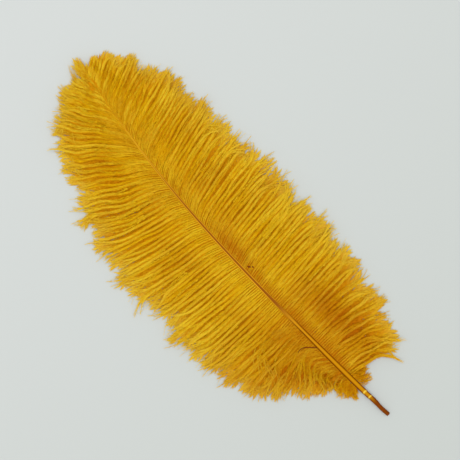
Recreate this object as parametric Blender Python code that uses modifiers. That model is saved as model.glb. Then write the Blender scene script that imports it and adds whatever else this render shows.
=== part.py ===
"""An ostrich plume lying face up on a table, cut end towards -X and tip towards +X, in metres.

The feather grew as one piece, so it is one solid: a tapering quill with a vane on each side,
and the barbs of each vane gathered into locks that are joined near the quill and free at their tips.
"""

import math
import random

import bmesh
import bpy
from mathutils import Matrix, Vector

# Quill
RACHIS_LENGTH = 0.375        # from the cut end to where the shaft runs out into barbs
RACHIS_BOW = 0.0108          # how far the shaft bows to its left at the middle
CREST_HEIGHT = 0.0140        # the shaft's height over the table at the middle
TIP_HEIGHT = 0.0065          # the shaft's height over the table at its thin end
CUT_RADIUS = 0.0020
CALAMUS_RADIUS = 0.0024      # the bare round stretch below the vanes
SHAFT_TIP_RADIUS = 0.0004
QUILL_STATIONS = 24
QUILL_REACH = 0.985          # where the round shaft ends, as a share of its length

# Vanes
FIRST_BARB = 0.045           # distance from the cut end to the lowest barbs
LOCKS_PER_SIDE = 33
BARB_LENGTH = {1: 0.0875, -1: 0.0820}    # +1 is the left vane, at +Y, and -1 the right
BARB_BEND = {1: -20.0, -1: 25.0}         # degrees each barb turns along its length, away from the tip
ROOT_ANGLE = 104.0           # degrees between the lowest barbs and the shaft
ANGLE_FALL = 62.0            # how much of that angle is lost evenly on the way to the tip
TIP_ANGLE_FALL = 30.0        # and how much more in the last stretch
BASE_FULLNESS = {1: 0.34, -1: 0.55}      # length of the lowest barbs, as a share of the longest
TIP_FULLNESS = 0.30          # length of the last barbs, as a share of the longest
FULL_FROM, FULL_TO = 0.32, 0.60          # where along the vane the barbs are longest
ROOT_RISE = 0.3              # how far over the shaft's axis the barbs grow, as a share of its radius
HUMP = 0.0015                # how far the barbs rise beside the shaft before they droop

# Locks
SPLIT = 0.55                 # share of a barb's length over which the locks hold together
REACH = (0.88, 1.12)         # shortest and longest lock, as a share of the barb's length
SWAY = 0.42                  # how far a lock's tip leans to a neighbour, as a share of its width
LOCK_RELIEF = 0.0024         # height of a lock's back over the valleys beside it
RELIEF_RISE = 1.6            # how fast that height comes in from the shaft outward
RELIEF_LOSS = 0.6            # how much of it is gone at a lock's tip
NARROWEST = 0.9              # how far a lock's edges draw in to its back at the tip
TIP_LIFT = 0.0080            # the most that a free tip stands off the table
LANDING = 0.65               # share of a barb's length at which it comes down to the table
EDGE_HEIGHT = 0.0030         # top of the vane where it lies on the table
VANE_THICKNESS = 0.0032
TIP_THINNESS = 0.35          # thickness left at a lock's tip, as a share of the vane's
PRESSED_BELOW = 0.0028       # the soft underside lies flat on the table where it comes this near
ROWS_JOINED = (0.0, 0.12, 0.26, 0.40, SPLIT)
ROWS_FREE = (0.66, 0.78, 0.90)
SEED = 11

LEFT, RIGHT = 1, -1


def clear_scene():
    for thing in list(bpy.data.objects):
        bpy.data.objects.remove(thing)


def smooth(x):
    """0 below 0, 1 above 1, with an even turn between."""
    x = min(max(x, 0.0), 1.0)
    return x * x * (3 - 2 * x)


def shaft_point(t):
    """The shaft's axis: t is 0 at the cut end and 1 at the thin end."""
    chord = RACHIS_LENGTH * t
    bow = 4 * RACHIS_BOW * t * (1 - t)
    ends = CUT_RADIUS + (TIP_HEIGHT - CUT_RADIUS) * t
    arch = (CREST_HEIGHT - (CUT_RADIUS + TIP_HEIGHT) / 2) * math.sin(math.pi * t)
    return Vector((chord, bow, ends + arch))


def shaft_heading(t):
    """The shaft's direction in plan, in radians from +X."""
    return math.atan2(4 * RACHIS_BOW * (1 - 2 * t), RACHIS_LENGTH)


def shaft_radius(t):
    bare = FIRST_BARB / RACHIS_LENGTH
    if t < bare:
        return CUT_RADIUS + (CALAMUS_RADIUS - CUT_RADIUS) * smooth(2 * t / bare)
    along = (t - bare) / (1 - bare)
    return SHAFT_TIP_RADIUS + (CALAMUS_RADIUS - SHAFT_TIP_RADIUS) * (1 - along) ** 1.5


def fullness(side, u):
    """Length of the barbs at u along the vane, as a share of the longest."""
    if u < FULL_FROM:
        return 1 - (1 - BASE_FULLNESS[side]) * (1 - u / FULL_FROM) ** 2
    if u > FULL_TO:
        return 1 - (1 - TIP_FULLNESS) * ((u - FULL_TO) / (1 - FULL_TO)) ** 2
    return 1.0


def barb_point(side, u, v):
    """The vane's top at v along the barb that grows u along the vane. In plan a barb is an arc."""
    bare = FIRST_BARB / RACHIS_LENGTH
    t = bare + (1 - bare) * u
    root = shaft_point(t)
    root.z += ROOT_RISE * shaft_radius(t)
    length = BARB_LENGTH[side] * fullness(side, u)
    bend = math.radians(BARB_BEND[side]) * fullness(side, u)
    angle = math.radians(ROOT_ANGLE - ANGLE_FALL * u - TIP_ANGLE_FALL * u ** 4) - bend / 2
    forward = length / bend * (math.sin(angle + bend * v) - math.sin(angle))
    outward = length / bend * (math.cos(angle) - math.cos(angle + bend * v))
    heading = shaft_heading(t)
    along = Vector((math.cos(heading), math.sin(heading), 0))
    across = Vector((-math.sin(heading), math.cos(heading), 0)) * side
    droop = (root.z - EDGE_HEIGHT) * smooth(v / LANDING) - HUMP * math.sin(math.pi * min(v / SPLIT, 1))
    return root + along * forward + across * outward - Vector((0, 0, droop))


def lock_traits(side, k):
    """How far lock k reaches, which way its tip leans, and how high the tip stands."""
    draw = random.Random(SEED + 100 * k + (50 if side == LEFT else 0))
    return draw.uniform(*REACH), draw.uniform(-SWAY, SWAY), TIP_LIFT * draw.random() ** 2


def lock_narrowing(v):
    """How far a lock's edges have drawn in to its back: 0 where it is joined to its neighbours."""
    return NARROWEST * smooth((v - SPLIT) / (1 - SPLIT))


def lock_row(side, k, v):
    """Both edges and the back of lock k at v along its barbs, from the cut-end side to the tip side."""
    reach, sway, lift = lock_traits(side, k)
    free = max(v - SPLIT, 0) / (1 - SPLIT)
    v_lock = v + free * (reach - 1)
    low = barb_point(side, k / LOCKS_PER_SIDE, v_lock)
    high = barb_point(side, (k + 1) / LOCKS_PER_SIDE, v_lock)
    back = low.lerp(high, 0.5 + sway * smooth(v))
    relief = LOCK_RELIEF * smooth(RELIEF_RISE * v) * (1 - RELIEF_LOSS * smooth(free))
    back.z += relief + lift * smooth(free)
    return low.lerp(back, lock_narrowing(v)), back, high.lerp(back, lock_narrowing(v))


def vane_surface():
    """Both vanes as one open surface, top side up: locks share edges inside the split and end in free tips.

    Each vertex carries, as its weight in group 0, how thick the vane is there.
    """
    mesh = bmesh.new()
    weights = mesh.verts.layers.deform.verify()

    def grow(point, v):
        vertex = mesh.verts.new(point)
        thinning = smooth((v - ROWS_FREE[0]) / (1 - ROWS_FREE[0]))
        vertex[weights][0] = 1 - (1 - TIP_THINNESS) * thinning
        return vertex

    spine = [grow(barb_point(LEFT, n / (2 * LOCKS_PER_SIDE), 0), 0) for n in range(2 * LOCKS_PER_SIDE + 1)]
    last_edge = {}
    for side in (LEFT, RIGHT):
        shared = {}
        for k in range(LOCKS_PER_SIDE):
            low_line, back_line, high_line = [spine[2 * k]], [spine[2 * k + 1]], [spine[2 * k + 2]]
            for v in ROWS_JOINED[1:] + ROWS_FREE:
                low, back, high = lock_row(side, k, v)
                joined = v <= SPLIT
                low_line.append(shared[k, v] if joined and k else grow(low, v))
                back_line.append(grow(back, v))
                high_line.append(grow(high, v))
                if joined:
                    shared[k + 1, v] = high_line[-1]
            tip = grow(lock_row(side, k, 1.0)[1], 1.0)
            add_lock_faces(mesh, low_line, back_line, high_line, tip, side)
        last_edge[side] = [shared[LOCKS_PER_SIDE, v] for v in ROWS_JOINED[1:]]
    add_end_lock(mesh, grow, spine[-1], last_edge[LEFT], last_edge[RIGHT])
    surface = bpy.data.meshes.new("vanes")
    bmesh.ops.recalc_face_normals(mesh, faces=mesh.faces)
    mesh.to_mesh(surface)
    mesh.free()
    if surface.polygons[0].normal.z < 0:
        surface.flip_normals()
    return surface


def add_lock_faces(mesh, low_line, back_line, high_line, tip, side):
    for near, far in ((low_line, back_line), (back_line, high_line)):
        for row in range(len(near) - 1):
            corners = [near[row], near[row + 1], far[row + 1], far[row]]
            mesh.faces.new(corners if side == RIGHT else corners[::-1])
        end = [near[-1], tip, far[-1]]
        mesh.faces.new(end if side == RIGHT else end[::-1])


def add_end_lock(mesh, grow, root, left_edge, right_edge):
    """The last lock runs on from the shaft's thin end, between the two vanes."""
    heading = shaft_heading(1.0)
    along = Vector((math.cos(heading), math.sin(heading), 0))
    length = BARB_LENGTH[LEFT] * TIP_FULLNESS
    back_line = []
    for v in ROWS_JOINED[1:] + ROWS_FREE + (1.0,):
        droop = (root.co.z - EDGE_HEIGHT) * smooth(v)
        back_line.append(grow(root.co + along * length * v - Vector((0, 0, droop)), v))
    for edge, flip in ((left_edge, False), (right_edge, True)):
        line = list(edge)
        for v, back in zip(ROWS_FREE, back_line[len(edge):]):
            reach = edge[-1].co + along * length * (v - SPLIT)
            line.append(grow(reach.lerp(back.co, lock_narrowing(v)), v))
        rows = [[root, line[0], back_line[0]]]
        rows += [[line[n], line[n + 1], back_line[n + 1], back_line[n]] for n in range(len(line) - 1)]
        rows.append([line[-1], back_line[-1], back_line[-2]])
        for corners in rows:
            mesh.faces.new(corners if flip else corners[::-1])


def evaluated_mesh(thing):
    depsgraph = bpy.context.evaluated_depsgraph_get()
    return bpy.data.meshes.new_from_object(thing.evaluated_get(depsgraph), depsgraph=depsgraph)


def make_vanes(collection):
    """The surface given its thickness, with the underside lying flat where it meets the table."""
    sheet = bpy.data.objects.new("vanes", vane_surface())
    collection.objects.link(sheet)
    sheet.vertex_groups.new(name="thickness")
    thicken = sheet.modifiers.new("thickness", "SOLIDIFY")
    thicken.thickness = VANE_THICKNESS
    thicken.vertex_group = "thickness"
    thicken.offset = -1
    solid = evaluated_mesh(sheet)
    for vertex in solid.vertices:
        if vertex.co.z < PRESSED_BELOW:
            vertex.co.z = 0.0
    sheet.modifiers.remove(thicken)
    sheet.data = solid
    return sheet


def make_quill(collection):
    """A round shaft that tapers from the calamus to the thin end."""
    line = bpy.data.curves.new("quill", "CURVE")
    line.dimensions = "3D"
    line.bevel_depth = 1.0
    line.bevel_resolution = 3
    line.use_fill_caps = True
    spline = line.splines.new("POLY")
    spline.points.add(QUILL_STATIONS - 1)
    for n, point in enumerate(spline.points):
        t = QUILL_REACH * n / (QUILL_STATIONS - 1)
        point.co = (*shaft_point(t), 1)
        point.radius = shaft_radius(t)
    tube = bpy.data.objects.new("quill_line", line)
    collection.objects.link(tube)
    solid = evaluated_mesh(tube)
    cleaned = bmesh.new()
    cleaned.from_mesh(solid)
    bmesh.ops.remove_doubles(cleaned, verts=cleaned.verts, dist=0.00001)
    cleaned.to_mesh(solid)
    cleaned.free()
    quill = bpy.data.objects.new("quill", solid)
    quill.matrix_world = tube.matrix_world
    collection.objects.link(quill)
    bpy.data.objects.remove(tube)
    return quill


def dyed_keratin():
    """Golden yellow dye on a soft matt feather."""
    material = bpy.data.materials.new("dyed_barbs")
    material.use_nodes = True
    shader = material.node_tree.nodes["Principled BSDF"]
    shader.inputs["Base Color"].default_value = (0.62, 0.33, 0.008, 1)
    shader.inputs["Roughness"].default_value = 0.75
    shader.inputs["Metallic"].default_value = 0.0
    return material


def make_feather():
    collection = bpy.data.collections.new("ostrich_feather")
    bpy.context.scene.collection.children.link(collection)
    feather = make_quill(collection)
    vanes = make_vanes(collection)
    feather.name = "feather"
    union = feather.modifiers.new("vanes", "BOOLEAN")
    union.operation = "UNION"
    union.solver = "EXACT"
    union.object = vanes
    joined = evaluated_mesh(feather)
    feather.modifiers.remove(union)
    bpy.data.objects.remove(vanes)
    corners = [vertex.co for vertex in joined.vertices]
    middle = [(min(c[axis] for c in corners) + max(c[axis] for c in corners)) / 2 for axis in (0, 1)]
    joined.transform(Matrix.Translation((-middle[0], -middle[1], 0)))
    joined.materials.clear()
    joined.materials.append(dyed_keratin())
    feather.data = joined
    feather.data.name = "feather"
    return feather


clear_scene()
make_feather()
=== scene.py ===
# %% [markdown]
# # An ostrich plume, dyed golden yellow
# This lesson dresses a plume that was packed as one plain solid: a quill with locks on both sides.
# A real plume is a horn shaft with hundreds of barbs, and every barb carries two rows of soft
# barbules. A particle system could grow them, but it would be lost when the plume is exported, so
# every barb and barbule here is real mesh, worked out as arrays and joined into a few pieces.

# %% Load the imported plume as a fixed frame
import math
import random

import bpy
import numpy as np
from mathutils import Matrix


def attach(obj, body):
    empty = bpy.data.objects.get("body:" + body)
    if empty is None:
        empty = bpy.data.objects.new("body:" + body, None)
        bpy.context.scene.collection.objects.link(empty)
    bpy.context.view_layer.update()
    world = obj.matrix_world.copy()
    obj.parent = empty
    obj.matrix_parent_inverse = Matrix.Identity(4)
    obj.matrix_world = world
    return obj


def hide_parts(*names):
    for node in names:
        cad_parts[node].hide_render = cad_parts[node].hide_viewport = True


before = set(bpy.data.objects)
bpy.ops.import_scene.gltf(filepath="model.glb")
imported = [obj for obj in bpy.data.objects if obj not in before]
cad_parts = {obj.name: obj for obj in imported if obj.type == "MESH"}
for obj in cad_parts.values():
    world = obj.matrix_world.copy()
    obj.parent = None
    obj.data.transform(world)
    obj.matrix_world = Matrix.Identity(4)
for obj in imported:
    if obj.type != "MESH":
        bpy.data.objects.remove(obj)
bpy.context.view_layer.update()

# %% [markdown]
# ## Where the plume lies
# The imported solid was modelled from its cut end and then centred. The cut end is the ring of corners
# at the lowest X, so its middle says where that starting point went. Measuring it on the mesh is
# safer than typing the shift by hand, because it stays right if the solid is packed again.

# %% Find the cut end of the quill
CUT_RADIUS = 0.0020
END_RING = 0.001                         # corners this close to the lowest X belong to the cut end

corners = np.array([corner.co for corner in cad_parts["feather"].data.vertices])
cut_ring = corners[corners[:, 0] < corners[:, 0].min() + END_RING]
start = cut_ring.mean(0) - (0, 0, CUT_RADIUS)
print("cut end at, mm:", (1000 * cut_ring.mean(0)).round(2))

# %% [markdown]
# ## The shaft's line
# The shaft bows a little to its left, swings slightly to both sides of that bow, and arches over the
# table, because the vanes hold it up. A curve drawn by hand could follow it, but a formula can be
# asked for a place and a heading anywhere, and every barb needs both where it grows. The bow and the
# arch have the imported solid's sizes, and the swing is the dressed plume's own.

# %% The shaft's line
RACHIS_LENGTH = 0.375
RACHIS_BOW = 0.0108                      # how far its middle lies to the left of a straight line
RACHIS_SWAY = 0.0015                     # how far it swings off that bow, first right and then left
CREST_HEIGHT = 0.0140
TIP_HEIGHT = 0.0065
FIRST_BARB = 0.045                       # length of bare quill below the vanes
BARE = FIRST_BARB / RACHIS_LENGTH


def smooth(x):
    """A soft step: 0 up to 0, 1 from 1 on, and an S between them."""
    x = np.clip(x, 0.0, 1.0)
    return x * x * (3 - 2 * x)


def shaft_point(t):
    """The shaft's axis, with t 0 at the cut end and 1 at the thin end."""
    chord = RACHIS_LENGTH * t
    bow = 4 * RACHIS_BOW * t * (1 - t) - RACHIS_SWAY * np.sin(2 * np.pi * t)
    ends = CUT_RADIUS + (TIP_HEIGHT - CUT_RADIUS) * t
    arch = (CREST_HEIGHT - (CUT_RADIUS + TIP_HEIGHT) / 2) * np.sin(np.pi * t)
    return np.stack([chord, bow, ends + arch], -1) + start


def shaft_heading(t):
    """Which way the shaft runs at t, in radians from +X."""
    slope = 4 * RACHIS_BOW * (1 - 2 * t) - 2 * np.pi * RACHIS_SWAY * np.cos(2 * np.pi * t)
    return np.arctan2(slope, RACHIS_LENGTH)


print("crest over the table, mm:", round(1000 * float(shaft_point(np.array(0.5))[2]), 1))

# %% [markdown]
# ## How thick the quill is
# The bare quill is a tube nearly five millimetres thick, and under the vanes it tapers to a thread.
# Its lowest stretch was scraped in steps, so no single formula gives the thickness. A few places
# where it changes, with straight tapers between them, do.

# %% The quill's thickness
# rows of distance from the cut end, as a share of the shaft's length, and radius in mm
QUILL_SEEN = (
    (0.000, 1.60), (0.015, 1.75), (0.036, 1.70), (0.042, 2.00), (0.058, 2.00), (0.063, 2.12),
    (0.074, 2.15), (0.080, 2.35), (0.140, 2.40), (0.180, 2.25), (0.220, 1.95), (0.260, 1.65),
    (0.366, 1.55), (0.490, 1.40), (0.620, 1.15), (0.740, 0.90), (0.850, 0.60), (1.000, 0.20),
)


def from_rows(rows, place, column):
    """The value in one column of some rows, read at a place between them."""
    table = np.array(rows, float)
    return np.interp(place, table[:, 0], table[:, column])


def quill_radius(t):
    return from_rows(QUILL_SEEN, t, 1) / 1000


print("quill below the vanes, mm thick:", round(2000 * float(quill_radius(BARE)), 1))

# %% [markdown]
# ## The lie of the vanes
# Seen from above, each barb is an arc. It leaves the shaft at a wide angle near the base and at a
# narrow one near the tip, and the two vanes bend opposite ways. Two short tables for each side say
# how long the barbs are and how far they lean. Places between their rows are read off in proportion.

# %% How long the barbs are and how far they lean
LEFT, RIGHT = 1, -1
# rows of place along the vane and barb length in mm
BARB_LENGTH = {
    LEFT: ((0.0, 18), (0.07, 46), (0.16, 72), (0.3, 84), (0.5, 86), (0.65, 82), (0.8, 68),
           (0.88, 53), (0.92, 36), (0.95, 16), (1.0, 8)),
    RIGHT: ((0.0, 48), (0.1, 66), (0.2, 76), (0.3, 80), (0.5, 79), (0.65, 75), (0.8, 66),
            (0.9, 47), (0.96, 30), (1.0, 19)),
}
# rows of place along the vane and degrees off the shaft, at the barb's root and at its free end
BARB_LEAN = {
    LEFT: ((0.0, 100, 92), (0.12, 94, 92), (0.3, 92, 85), (0.5, 86, 78), (0.62, 84, 64),
           (0.72, 64, 50), (0.82, 44, 40), (0.92, 28, 24), (1.0, 26, 30)),
    RIGHT: ((0.0, 96, 100), (0.12, 90, 98), (0.3, 88, 87), (0.45, 80, 84), (0.6, 68, 80),
            (0.8, 62, 68), (0.92, 50, 56), (1.0, 36, 38)),
}
print("longest barbs, mm:", [max(row[1] for row in BARB_LENGTH[side]) for side in (LEFT, RIGHT)])

# %% [markdown]
# ## Locks
# The barbs of a vane gather in locks, each with a reach, a lean and a lift of its own. Those could be
# drawn at random again here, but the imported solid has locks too. So each lock's traits come from the
# same seed as in the solid, and the barbs end near where its locks end.

# %% The traits of every lock
LOCKS_PER_SIDE = 33
LOCK_SEED = 11
LOCK_SIDE_SEED = {LEFT: 50, RIGHT: 0}
REACH, SWAY, TIP_LIFT = (0.88, 1.12), 0.42, 0.0080


def lock_traits(side):
    """Reach, sway and lift of every lock on one side, one row each."""
    rows = []
    for k in range(LOCKS_PER_SIDE):
        draw = random.Random(LOCK_SEED + 100 * k + LOCK_SIDE_SEED[side])
        rows.append((draw.uniform(*REACH), draw.uniform(-SWAY, SWAY), TIP_LIFT * draw.random() ** 2))
    return np.array(rows)


def lock_of(u):
    """Which lock a place along the vane belongs to."""
    return np.minimum((u * LOCKS_PER_SIDE).astype(int), LOCKS_PER_SIDE - 1)


print("highest lock end, mm:", round(1000 * max(lock_traits(side)[:, 2].max() for side in (LEFT, RIGHT)), 1))

# %% [markdown]
# ## The course of a barb
# A curve object could draw one barb, but hundreds of curves are slow to handle. Here one call lays
# out all barbs of a side at once: it adds up small steps along a heading that turns, which lets a
# barb bend, wave and hook without changing its length. From the shaft's crest the barbs swell up a
# little, then come down towards the table.

# %% Lay out barbs as rows of points
BARB_STATIONS = 25
ALONG = np.linspace(0, 1, BARB_STATIONS)
ROOT_ASIDE, ROOT_RISE = 0.95, 0.50       # where a barb grows, as shares of the quill's radius
ROOT_BEND = math.radians(18)             # how much more a barb leans forward right at the shaft
COVERED_FROM = 0.75                      # past this place the barbs close over the shaft
HUMP = 0.0015                            # how far a vane swells over the straight way down
SPLIT, LANDING = 0.55, 0.65              # where the locks part, and where they have come down
EDGE_HEIGHT = 0.0030


def walk(heading, length):
    """Small steps along a heading, added up: how far forward and aside each station lies."""
    middle = (heading[:, 1:] + heading[:, :-1]) / 2
    step = (length / (BARB_STATIONS - 1))[:, None]
    nothing = np.zeros((len(heading), 1))
    forward = np.concatenate([nothing, np.cumsum(np.cos(middle) * step, 1)], 1)
    aside = np.concatenate([nothing, np.cumsum(np.sin(middle) * step, 1)], 1)
    return forward, aside


def lay_barbs(side, u, reach, turn, aside=ROOT_ASIDE):
    """Points (barbs, stations, 3) of barbs that grow at u along the vane; turn adds to their heading."""
    t = BARE + (1 - BARE) * u
    at_root, at_end = (np.radians(from_rows(BARB_LEAN[side], u, column)) for column in (1, 2))
    lean = at_root[:, None] + (at_end - at_root)[:, None] * ALONG + turn
    lean -= ROOT_BEND * smooth((u - 0.2) / 0.3)[:, None] * (1 - smooth(ALONG / 0.25))
    forward, outward = walk(lean, from_rows(BARB_LENGTH[side], u, 1) / 1000 * reach)
    covered = smooth((u - COVERED_FROM) / (1 - COVERED_FROM))
    outward += (aside * (1 - covered) * quill_radius(t))[:, None] * (1 - ALONG)
    heading = shaft_heading(t)[:, None]
    root = shaft_point(t)
    crest = root[:, 2] + (ROOT_RISE + covered) * quill_radius(t)
    v = ALONG * reach[:, None]
    droop = (crest[:, None] - EDGE_HEIGHT) * smooth(v / LANDING)
    droop -= HUMP * np.sin(np.pi * np.minimum(v / SPLIT, 1))
    x = root[:, :1] + forward * np.cos(heading) - side * outward * np.sin(heading)
    y = root[:, 1:2] + forward * np.sin(heading) + side * outward * np.cos(heading)
    return np.stack([x, y, crest[:, None] - droop], -1)


def frames_along(paths):
    """Unit tangent, sideways and upward directions at each point of the paths."""
    tangent = np.gradient(paths, axis=1)
    tangent /= np.linalg.norm(tangent, axis=-1, keepdims=True)
    aside = np.cross(np.array([0.0, 0.0, 1.0]), tangent)
    aside /= np.linalg.norm(aside, axis=-1, keepdims=True) + 1e-9
    return tangent, aside, np.cross(tangent, aside)


middle_barb = lay_barbs(LEFT, np.array([0.5]), np.ones(1), 0.0)[0]
print("middle of the left vane reaches, mm:", (1000 * (middle_barb[-1] - middle_barb[0])).round(1))

# %% [markdown]
# ## How a strand lies
# Loose barbs cling to two or three neighbours and run on as one soft rope, a strand. A strand leans
# with its lock, waves a little and hooks at its free end, and near the base the barbs are soft and
# curl. Plain noise on every strand would tangle them. So the waves' phase runs on from strand to
# strand, with a small random part, and neighbours lie together like combed hair.

# %% Turns of the strands
BASE_ENDS = 0.20                         # where along the vane the curly base gives way to long barbs
LOCK_LEAN = 9.0                          # degrees that a lock turns for a sway of 1
STRAY, END_STRAY, BASE_STRAY = 2.0, 18.0, 14.0    # degrees between strands: anywhere, at ends, at the base
END_HOOK = 6.0                           # degrees that free ends bend, forward on the left, back on the right
WAVE, BASE_WAVE = 3.0, 8.0
BASE_FLOW = 18.0                         # degrees of the shared wave in the left vane's base
LEFT_RIPPLE = 10.0                       # degrees of the shared wave in its upper half
BASE_SWEEP = {LEFT: (-40, 42), RIGHT: (-4, 28)}   # degrees at the root and at the free end


def base_curl(u):
    """How downy the barbs are at u: 1 for the lowest ones and 0 past the base."""
    return 1 - smooth(u / BASE_ENDS)


def waves(count, phase):
    """So many waves along each barb, each barb with a phase of its own."""
    return np.sin(2 * np.pi * (count * ALONG + phase))


def strand_turns(side, u, lock, rng):
    """Turns of each strand's heading along its length, in degrees."""
    strands = len(u)
    curl = base_curl(u)
    turn = -LOCK_LEAN * lock_traits(side)[lock][:, 1:2] * smooth(ALONG)
    turn = turn + rng.uniform(-STRAY, STRAY, strands)[:, None] * smooth((ALONG - 0.2) / 0.5)
    turn += (rng.normal(0, END_STRAY, strands) - END_HOOK * side)[:, None] * smooth((ALONG - 0.70) / 0.30)
    count, phase = rng.uniform(1.0, 2.6, strands), rng.uniform(0, 1, strands)
    turn += (WAVE + BASE_WAVE * curl)[:, None] * (waves(count[:, None], phase[:, None]) * smooth(ALONG / 0.5))
    drift = rng.uniform(-0.15, 0.15, strands)
    if side == LEFT:
        flow = waves(1.7, 6 * u[:, None] + drift[:, None])
        turn += BASE_FLOW * curl[:, None] * flow * smooth(ALONG / 0.4)
        ripple = waves(2.3, 5 * u[:, None] + rng.uniform(-0.1, 0.1, strands)[:, None])
        turn += LEFT_RIPPLE * smooth((u - 0.5) / 0.2)[:, None] * ripple * smooth((ALONG - 0.15) / 0.5)
    at_root, at_end = BASE_SWEEP[side]
    turn += curl[:, None] * (at_root + (at_end - at_root) * ALONG)
    turn += (curl * rng.uniform(-BASE_STRAY, BASE_STRAY, strands))[:, None] * ALONG
    return turn


print("curl at the base and past it:", base_curl(np.array([0.0, 0.1, 0.2])).round(2))

# %% [markdown]
# ## Partings
# Here and there two strands part, leave a long narrow slit, and close again. Leaving barbs out would
# make such a gap, but its ends would be blunt. Instead, the strands on its two sides turn away from
# each other and then back, so a slit opens and closes to a point.

# %% Open some slits
PARTINGS_PER_SIDE, PARTING_WIDTH, PARTING_SHARE = 11, 0.018, 0.42
PARTING_BEGINS = (0.25, 0.55)
PARTING_TURN = {LEFT: (2.0, 7.0), RIGHT: (2.0, 9.0)}


def parting_turns(side, u):
    """Turns in degrees that open long narrow slits between some strands and close them again."""
    turn = np.zeros((len(u), BARB_STATIONS))
    draw = random.Random(LOCK_SEED + side)
    for k in range(PARTINGS_PER_SIDE):
        place = (k + draw.uniform(0.1, 0.9)) / PARTINGS_PER_SIDE
        strength, begins = draw.uniform(*PARTING_TURN[side]), draw.uniform(*PARTING_BEGINS)
        away = (u - place) / PARTING_WIDTH
        opening = np.sin(2 * np.pi * np.clip((ALONG - begins) / PARTING_SHARE, 0, 1))
        turn -= strength * (np.tanh(4 * away) * np.exp(-away ** 2))[:, None] * opening
    return turn


widest = max(np.abs(parting_turns(side, np.linspace(0, 1, 500))).max() for side in (LEFT, RIGHT))
print("strongest parting, degrees:", round(float(widest), 1))

# %% [markdown]
# ## Where the colour goes deeper
# Dye doesn't take evenly. On the right it went deeper beside the shaft, in a small spot halfway up and
# in a patch low on the vane. The downy base is deeper too, partly its own dye and partly painted shade.
# Painting a texture could show that. A formula over place and length needs no image, and it works at
# any size.

# %% The share of deeper dye and painted shade
def spot(places, at, out, width, length):
    """A soft round spot of deeper colour on a vane."""
    return np.exp(-((places - at) / width) ** 2 - ((ALONG - out) / length) ** 2)


def deeper_dye_and_shade(side, u):
    """How much deeper the colour is at each station of the barbs at u, from 0 to 1: dye, and at the base
    partly painted shade.
    """
    places = u[:, None]
    # partly dye and partly painted shade: the base is deeper, less so towards the free ends
    base_dye_and_shade = 0.80 * (1 - smooth(places / 0.34)) * (1 - 0.60 * smooth((ALONG - 0.55) / 0.35))
    if side == LEFT:
        return base_dye_and_shade
    base_dye_and_shade = base_dye_and_shade * (0.25 + 0.45 * smooth(places / 0.10))
    by_shaft = 0.5 - 0.35 * smooth((places - 0.42) / 0.15) - 0.15 * smooth((places - 0.7) / 0.15)
    by_shaft = by_shaft * (1 - smooth(ALONG / 0.16))
    mid_spot = 0.8 * spot(places, 0.43, 0.05, 0.08, 0.09)
    patch = 0.75 * spot(places, 0.15, 0.36, 0.09, 0.24)
    return np.maximum(np.maximum(base_dye_and_shade, mid_spot), np.maximum(by_shaft, patch))


print("deepest dye on the right:", round(float(deeper_dye_and_shade(RIGHT, np.linspace(0, 1, 50)).max()), 2))

# %% [markdown]
# ## Barbs gather into strands
# Near the shaft the barbs lie evenly. Further out, three or four of them wind together. Modelling
# the ropes as such would lose the even roots, so every barb starts on its own path, is pulled towards
# the middle of its strand, and is twisted round it. Each strand also rises and dives a little, which
# lays some over others and gives the vane its depth.

# %% Wind barbs together and lay strands over each other
BARBS_PER_SIDE = 350
STRAND_SIZES = (3, 4)
PAIR_GAP = 0.52                          # barbs grow in pairs, this close for an even gap of 1
LOCK_REACH = 0.45                        # how much of its lock's own reach a strand takes on
LOCK_RELIEF = 0.0012                     # how much higher the middle of a lock lies than its sides
LAYER = 0.0004                           # how far strands rise and dive, once by chance and once in waves
ROPE, ROPE_GROWS = 0.00015, 0.0004       # how far barbs lie from their strand's middle, and how much further
SMALLEST_HEIGHT = 0.0005


def share_out(n, rng):
    """Where the barbs of a side grow along the vane, in close pairs, and the strand of each."""
    pair = 2 * (np.arange(n) // 2) + 1
    u = (pair + PAIR_GAP * (np.arange(n) - pair + 0.5) + rng.uniform(-0.2, 0.2, n)) / n
    sizes = rng.integers(STRAND_SIZES[0], STRAND_SIZES[1] + 1, n)
    return u, np.repeat(np.arange(n), sizes)[:n]


def wind_round(paths, strand, rng):
    """Twist the barbs of each strand round each other; gives their paths and how far they rise."""
    rope = ROPE + ROPE_GROWS * smooth(ALONG / 0.5) * (1 - 0.5 * smooth((ALONG - 0.7) / 0.3))
    winding = rng.uniform(0, 2 * np.pi, len(paths))[:, None]
    winding = winding + rng.uniform(-3, 3, strand.max() + 1)[strand][:, None] * ALONG
    _, aside, up = frames_along(paths)
    sideways, upward = rope * np.cos(winding), 0.8 * rope * np.sin(winding)
    return paths + aside * sideways[..., None] + up * upward[..., None], upward


def strand_heights(middle_u, lock, lift, rng):
    """How far each strand lies over its neighbours, and its whole rise with its lock's."""
    strands = len(middle_u)
    count, phase = rng.uniform(0.7, 1.6, strands), rng.uniform(0, 1, strands)
    dive = waves(count[:, None], phase[:, None])
    layer = (rng.uniform(-LAYER, LAYER, strands)[:, None] + LAYER * dive) * smooth(ALONG / 0.3)
    ridge = 1 - np.abs(2 * (middle_u * LOCKS_PER_SIDE - lock) - 1)
    free = smooth((ALONG - SPLIT) / (1 - SPLIT))
    rise = LOCK_RELIEF * ridge[:, None] * smooth(1.6 * ALONG) * (1 - 0.6 * free)
    return layer, rise + layer + 0.6 * lift[:, None] * free


print("barbs in a strand:", STRAND_SIZES)

# %% [markdown]
# ## The upper barbs of a vane
# Everything so far comes together for one side: growing places, strands, turns, winding and heights.
# The shader will need to know more than the shape, so each barb also carries a tint, how high it lies
# and how far from its strand's middle, for painted highlight and shade, how much deeper its colour is,
# dye and at the base partly painted shade, and how full its barbules are.

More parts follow.
